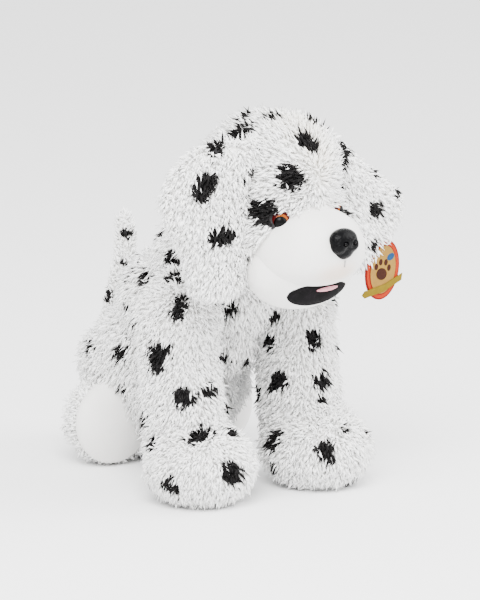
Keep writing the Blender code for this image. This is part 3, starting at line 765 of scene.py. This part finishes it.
def make_head():
    blobs = [
        head_ball((0, 0, 0), (0.0505, 0.0505, 0.0505)),
        head_ball((0, -0.012, 0.012), (0.044, 0.043, 0.040)),
        head_ball((0.016, -0.020, -0.030), (0.036, 0.030, 0.030)),
        head_ball((-0.016, -0.020, -0.030), (0.036, 0.030, 0.030)),
    ]
    head = merge_blobs("head", blobs, 0.005, 5)
    stuff(head, 0.002)
    dress(head, BACKING)
    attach(head, "head")
    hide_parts("head_cover", "head_stuffing")

    def brushed(points, normals):
        here = to_head_array(points)
        away = here - np.array((0.0, -0.055, -0.010))
        away[:, 2] = away[:, 2] * 0.6 - 0.012
        turn = np.array(HEAD_PLACE.to_3x3())
        return unit(away @ turn.T)

    def cream(here):
        across = np.exp(-(here[:, 0] / 0.020) ** 2)
        front = np.clip((-here[:, 1] + 0.010) / 0.04, 0, 1) * np.clip((here[:, 2] + 0.01) / 0.03, 0, 1)
        return 0.75 * across * front
    cover_with_pile(head, "head", 51, brushed, SPOTS["head"], local=to_head_array, keep=face_mask,
                    cream_of=cream, length=0.0095)


def on_dome(x, z):
    """The point of the dome's front at this place across and height."""
    share = 1 - (x / DOME_HALF.x) ** 2 - ((z - DOME_CENTRE.z) / DOME_HALF.z) ** 2
    return Vector((x, DOME_CENTRE.y - DOME_HALF.y * math.sqrt(max(share, 0.0)), z))


def make_muzzle():
    dome = head_ball(DOME_CENTRE, DOME_HALF, segments=56, rings=36)
    settle(dome)
    for vertex in dome.data.vertices:
        here = TO_HEAD @ vertex.co
        if here.z < LIP_Z:
            here.z = LIP_Z + (here.z - LIP_Z) * LIP_FLATTEN
            vertex.co = HEAD_PLACE @ here
    dome = merge_blobs("muzzle", [dome], 0.0028, 5)
    cheeks = head_ball(CHEEK_CENTRE, CHEEK_HALF, segments=48, rings=32)
    bridge = head_ball((0, -0.034, -0.024), (0.034, 0.024, 0.020))
    cheeks = merge_blobs("muzzle_sides_and_chin", [cheeks, bridge], 0.0035, 4)
    for piece, nodes in ((dome, ("muzzle_cover", "muzzle_stuffing")), (cheeks, ("lower_jaw",))):
        stuff(piece, 0.001)
        dress(piece, MUZZLE_PILE if piece is dome else SMOOTH_PILE)
        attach(piece, "head")
        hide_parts(*nodes)


def finished(piece, name, look, body="head", replaces=()):
    settle(piece)
    piece.name = name
    piece.data.name = name
    smooth_faces(piece)
    dress(piece, look)
    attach(piece, body)
    if replaces:
        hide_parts(*replaces)
    return piece


def make_mouth():
    finished(head_ball((-0.0015, -0.0460, -0.0690), (0.0368, 0.0197, 0.0187), segments=48, rings=32),
             "mouth_inside", BLACK_FELT, replaces=("mouth_lining",))
    tongue = head_ball((-0.0010, -0.0588, -0.0726), (0.0150, 0.0086, 0.0026), segments=32, rings=20)
    finished(tongue, "tongue_tip", PINK_FELT, replaces=("tongue",))


def make_nose():
    """A moulded nose: wide at the top, narrow below, with two round nostrils and a rim under them."""
    blobs = [
        head_ball((0, -0.0795, -0.0335), (0.0130, 0.0088, 0.0090)),
        head_ball((0, -0.0790, -0.0400), (0.0098, 0.0082, 0.0085)),
        head_ball((0.0066, -0.0800, -0.0370), (0.0062, 0.0080, 0.0066)),
        head_ball((-0.0066, -0.0800, -0.0370), (0.0062, 0.0080, 0.0066)),
    ]
    nose = merge_blobs("moulded_nose", blobs, 0.0011, 3)
    for side in (-1, 1):
        hole = head_ball((side * 0.0050, -0.0880, -0.0350), (0.0027, 0.0030, 0.0020), 0.4 * side)
        settle(hole)
        carve(nose, hole)
        ring = head_ball((side * 0.0050, -0.0872, -0.0350), (0.0013, 0.0013, 0.0013))
        finished(ring, f"nostril_{'left' if side > 0 else 'right'}", NOSE_PLASTIC)
    groove = head_ball((0, -0.0886, -0.0395), (0.0058, 0.0022, 0.0010))
    settle(groove)
    carve(nose, groove)
    finished(nose, "moulded_nose", NOSE_PLASTIC, replaces=("nose",))


def carve(piece, tool):
    """Cut the tool's shape out of the piece."""
    cut = piece.modifiers.new("Cut", "BOOLEAN")
    cut.operation = "DIFFERENCE"
    cut.solver = "EXACT"
    cut.object = tool
    pick(piece)
    bpy.ops.object.modifier_apply(modifier=cut.name)
    bpy.data.objects.remove(tool)


def make_eyes():
    """Domed plastic: a dark red edge, an amber iris and a large black pupil set low in it."""
    for name, side in (("left", 1), ("right", -1)):
        place = EYES[name]
        look = Vector((side * 0.50, -0.84, 0.10)).normalized()
        turn = (HEAD_PLACE.to_3x3() @ look).to_track_quat("Z", "Y")
        up_inner = Vector((-side * 0.55, 0.0, 0.80))
        up_inner = (up_inner - look * up_inner.dot(look)).normalized()
        layers = (("rim", RIM_RED, 0.0072, 0.0040, Vector()),
                  ("iris", AMBER, 0.0066, 0.0044, Vector()),
                  ("pupil", EYE_BLACK, 0.0056, 0.0044, look * 0.0010 - up_inner * 0.0011))
        for part, paint, wide, deep, shift in layers:
            lens = ball(HEAD_PLACE @ (place + shift), (wide, wide, deep), turn.to_euler(),
                        segments=40, rings=24)
            finished(lens, f"eye_{part}_{name}", paint,
                     replaces=(f"eye_{name}",) if part == "rim" else ())


def make_philtrum():
    """The short stitch under the nose."""
    proud = Vector((0, -0.0002, 0))
    start, end = on_dome(0.0, -0.0490) + proud, on_dome(0.0, -0.0540) + proud
    stitch = post(HEAD_PLACE @ start, HEAD_PLACE @ end, 0.0007, 0.0005, 12)
    finished(stitch, "stitch_under_nose", GREY_THREAD)


# Ear outlines: (height, inner edge, outer edge), from the middle of the skull
EAR_OUTLINES = {
    "left": (
        (0.034, 0.022, 0.046), (0.026, 0.026, 0.056), (0.016, 0.034, 0.068), (0.004, 0.040, 0.084),
        (-0.008, 0.043, 0.101), (-0.020, 0.044, 0.117), (-0.030, 0.044, 0.122), (-0.040, 0.045, 0.119),
        (-0.050, 0.047, 0.108), (-0.062, 0.052, 0.096), (-0.073, 0.060, 0.088),
    ),
    "right": (
        (0.038, 0.024, 0.074), (0.032, 0.028, 0.094), (0.018, 0.034, 0.112), (0.004, 0.040, 0.118),
        (-0.010, 0.042, 0.116), (-0.024, 0.042, 0.109), (-0.040, 0.043, 0.099), (-0.056, 0.044, 0.094),
        (-0.068, 0.047, 0.091), (-0.075, 0.054, 0.082),
    ),
}
EAR_FORWARD = 0.018
EAR_ROUND = 24                  # points round the flap
EAR_THICK = 0.0085              # half the flap's thickness at its middle
# How far the outer edge comes forward of the root, or goes back
EAR_SWEEP = {"left": -0.004, "right": 0.010}


def make_ear(name, side):
    """A flap, thicker in its middle."""
    shape = bmesh.new()
    rings = []
    for height, inner, outer in EAR_OUTLINES[name]:
        ring = []
        middle, reach = (inner + outer) / 2, (outer - inner) / 2
        for step in range(EAR_ROUND):
            angle = 2 * math.pi * step / EAR_ROUND
            across = middle + reach * math.copysign(abs(math.cos(angle)) ** 0.8, math.cos(angle))
            bulge = EAR_THICK * math.sin(angle)
            sweep = EAR_SWEEP[name] * ((across - 0.040) / 0.08)
            ring.append(shape.verts.new((side * across, -EAR_FORWARD + bulge + sweep, height)))
        rings.append(ring)
    for low, high in zip(rings, rings[1:]):
        for step in range(EAR_ROUND):
            after = (step + 1) % EAR_ROUND
            shape.faces.new((low[step], low[after], high[after], high[step]))
    shape.faces.new(rings[0])
    shape.faces.new(list(reversed(rings[-1])))
    bmesh.ops.recalc_face_normals(shape, faces=shape.faces)
    mesh = bpy.data.meshes.new(f"ear_{name}")
    shape.to_mesh(mesh)
    shape.free()
    ear = bpy.data.objects.new(f"ear_{name}", mesh)
    bpy.context.scene.collection.objects.link(ear)
    ear.data.transform(HEAD_PLACE)
    apply_modifier(ear, "REMESH", mode="VOXEL", voxel_size=0.0035)
    apply_modifier(ear, "SMOOTH", factor=0.5, iterations=6)
    stuff(ear, 0.002, pressure=2.0)
    dress(ear, BACKING)
    body = f"ear_{name}"
    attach(ear, body)
    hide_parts(f"{body}_outer", f"{body}_lining")

    def droop(points, normals):
        here = to_head_array(points)
        away = np.stack([here[:, 0] * 0.6, np.zeros(len(here)), np.full(len(here), -0.10)], axis=1)
        return unit(away @ np.array(HEAD_PLACE.to_3x3()).T)
    cover_with_pile(ear, body, 61 + side, droop, SPOTS[body], local=to_head_array, length=0.0085)


# ---- Swing tag -------------------------------------------------------------------------------

TAG_TILT = math.radians(12.0)
TAG_UP = Vector((math.sin(TAG_TILT), 0.0, math.cos(TAG_TILT)))
TAG_ACROSS = Vector((math.cos(TAG_TILT), 0.0, -math.sin(TAG_TILT)))
TAG_HALF = (0.0185, 0.0235)
TAG_MIDDLE = Vector((0.100, -0.0292, -0.0582)) - TAG_UP * 0.0195


def card_layer(name, outline, start, end, look):
    """A flat card shape between two depths in front of the tag's middle."""
    shape = bmesh.new()
    rings = []
    for depth in (start, end):
        rings.append([shape.verts.new(HEAD_PLACE @ (TAG_MIDDLE + TAG_ACROSS * x + TAG_UP * y
                                                    + Vector((0, -depth, 0)))) for x, y in outline])
    count = len(outline)
    for step in range(count):
        after = (step + 1) % count
        shape.faces.new((rings[0][step], rings[0][after], rings[1][after], rings[1][step]))
    shape.faces.new(rings[0][::-1])
    shape.faces.new(rings[1])
    bmesh.ops.recalc_face_normals(shape, faces=shape.faces)
    mesh = bpy.data.meshes.new(name)
    shape.to_mesh(mesh)
    shape.free()
    piece = bpy.data.objects.new(name, mesh)
    bpy.context.scene.collection.objects.link(piece)
    dress(piece, look)
    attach(piece, "tag")
    return piece


def oval(half_wide, half_high, middle=(0.0, 0.0), turn=0.0, count=48):
    points = []
    for step in range(count):
        angle = 2 * math.pi * step / count
        x, y = half_wide * math.cos(angle), half_high * math.sin(angle)
        points.append((middle[0] + x * math.cos(turn) - y * math.sin(turn),
                       middle[1] + x * math.sin(turn) + y * math.cos(turn)))
    return points


def card_material(name, colour, shade):
    """Printed, coated card."""
    made, nodes, links, shader = new_material(name)
    nap = place_group(nodes, NAP, Colour=(*colour, 1.0), Shade=(*shade, 1.0), Nap_Scale=700.0,
                      Patch_Scale=150.0, Bump=0.03)
    links.new(nap.outputs["Colour"], shader.inputs["Base Color"])
    links.new(nap.outputs["Normal"], shader.inputs["Normal"])
    shader.inputs["Roughness"].default_value = 0.6
    shader.inputs["Specular IOR Level"].default_value = 0.08
    return made


def make_tag():
    red = card_material("card_red", (0.16, 0.002, 0.001), (0.13, 0.002, 0.001))
    orange = card_material("card_orange", (0.30, 0.022, 0.003), (0.25, 0.018, 0.002))
    cream = card_material("card_cream", (0.24, 0.135, 0.025), (0.20, 0.11, 0.020))
    brown = card_material("card_brown", (0.030, 0.007, 0.002), (0.022, 0.005, 0.002))
    blue = card_material("card_blue", (0.008, 0.045, 0.12), (0.006, 0.036, 0.095))
    gold = card_material("card_gold", (0.15, 0.100, 0.002), (0.12, 0.080, 0.002))
    wide, high = TAG_HALF
    base = card_layer("tag_card", oval(wide, high), -0.0006, 0.0004, red)
    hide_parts("hang_tag")
    card_layer("tag_ring_orange", oval(wide - 0.0012, high - 0.0012), 0.0003, 0.0007, orange)
    card_layer("tag_ring_red", oval(wide - 0.0040, high - 0.0040), 0.0006, 0.0009, red)
    card_layer("tag_field", oval(wide - 0.0048, high - 0.0048), 0.0008, 0.0011, cream)
    # A plain paw print: one pad and four toes
    card_layer("tag_paw_pad", oval(0.0058, 0.0046, (-0.0012, -0.0035), count=28), 0.0010, 0.0013, brown)
    toes = ((-0.0082, 0.0015), (-0.0040, 0.0055), (0.0018, 0.0058), (0.0060, 0.0020))
    for number, toe in enumerate(toes, 1):
        card_layer(f"tag_paw_toe_{number}", oval(0.0019, 0.0025, toe, count=20), 0.0010, 0.0013, brown)
    card_layer("tag_sky", oval(0.0040, 0.0026, (0.0062, 0.0105), 0.5, 24), 0.0010, 0.0013, blue)
    band = [(-wide - 0.0015, -0.0215), (-wide + 0.002, -0.0235), (0.004, -0.0165), (wide + 0.003, -0.0065),
            (wide + 0.003, -0.0010), (0.004, -0.0110), (-wide + 0.001, -0.0180)]
    card_layer("tag_band", band, 0.0012, 0.0018, gold)


# ---- Build -----------------------------------------------------------------------------------

make_torso()
for side_name, sign in (("left", 1), ("right", -1)):
    make_front_leg(side_name, sign)
    make_hind_leg(side_name, sign)
    make_ear(side_name, sign)
make_tail()
make_head()
make_muzzle()
make_mouth()
make_nose()
make_eyes()
make_philtrum()
make_tag()
for node_name, node in frame["nodes"].items():
    if node_name.endswith(("washer", "washer_left", "washer_right")):
        dress(node, WASHER_PLASTIC)
    elif node_name == "tag_loop":
        dress(node, LOOP_PLASTIC)

# ---- Floor, light and camera -----------------------------------------------------------------

FLOOR_SIZE, FLOOR_Z = 6.0, -0.0015
SKY_STRENGTH = 2.3
LAMP_AIM = Vector((0, -0.08, 0.14))
LAMPS = (("key", (-0.9, -1.2, 1.7), 1.3, 120.0), ("fill", (1.3, -1.0, 1.2), 1.5, 50.0))


def make_stage():
    clear_selection()
    bpy.ops.mesh.primitive_plane_add(size=FLOOR_SIZE, location=(0, 0, FLOOR_Z))
    floor = bpy.context.object
    floor.name = "floor"
    made, _, _, shader = new_material("pale_floor")
    shader.inputs["Base Color"].default_value = (0.93, 0.93, 0.93, 1.0)
    shader.inputs["Roughness"].default_value = 0.9
    dress(floor, made)
    world = bpy.data.worlds.new("studio")
    bpy.context.scene.world = world
    world.use_nodes = True
    sky = world.node_tree.nodes["Background"]
    sky.inputs["Color"].default_value = (1.0, 1.0, 1.0, 1.0)
    sky.inputs["Strength"].default_value = SKY_STRENGTH
    for name, place, size, power in LAMPS:
        lamp = bpy.data.lights.new(name, "AREA")
        lamp.size = size
        lamp.energy = power
        thing = bpy.data.objects.new(name, lamp)
        thing.location = place
        thing.rotation_euler = (LAMP_AIM - Vector(place)).to_track_quat("-Z", "Y").to_euler()
        bpy.context.scene.collection.objects.link(thing)


CAMERA_AZIMUTH, CAMERA_ELEVATION = math.radians(-33.0), math.radians(12.0)
CAMERA_DISTANCE = 4.0
CAMERA_AIM = Vector((0.0105, -0.110, 0.1404))


def make_camera():
    data = bpy.data.cameras.new("camera")
    data.lens = 312.0
    data.sensor_width = 36.0
    camera = bpy.data.objects.new("camera", data)
    bpy.context.scene.collection.objects.link(camera)
    a, e = CAMERA_AZIMUTH, CAMERA_ELEVATION
    back = Vector((math.sin(a) * math.cos(e), -math.cos(a) * math.cos(e), math.sin(e)))
    camera.location = CAMERA_AIM + back * CAMERA_DISTANCE
    camera.rotation_euler = (-back).to_track_quat("-Z", "Y").to_euler()
    bpy.context.scene.camera = camera


make_stage()
make_camera()
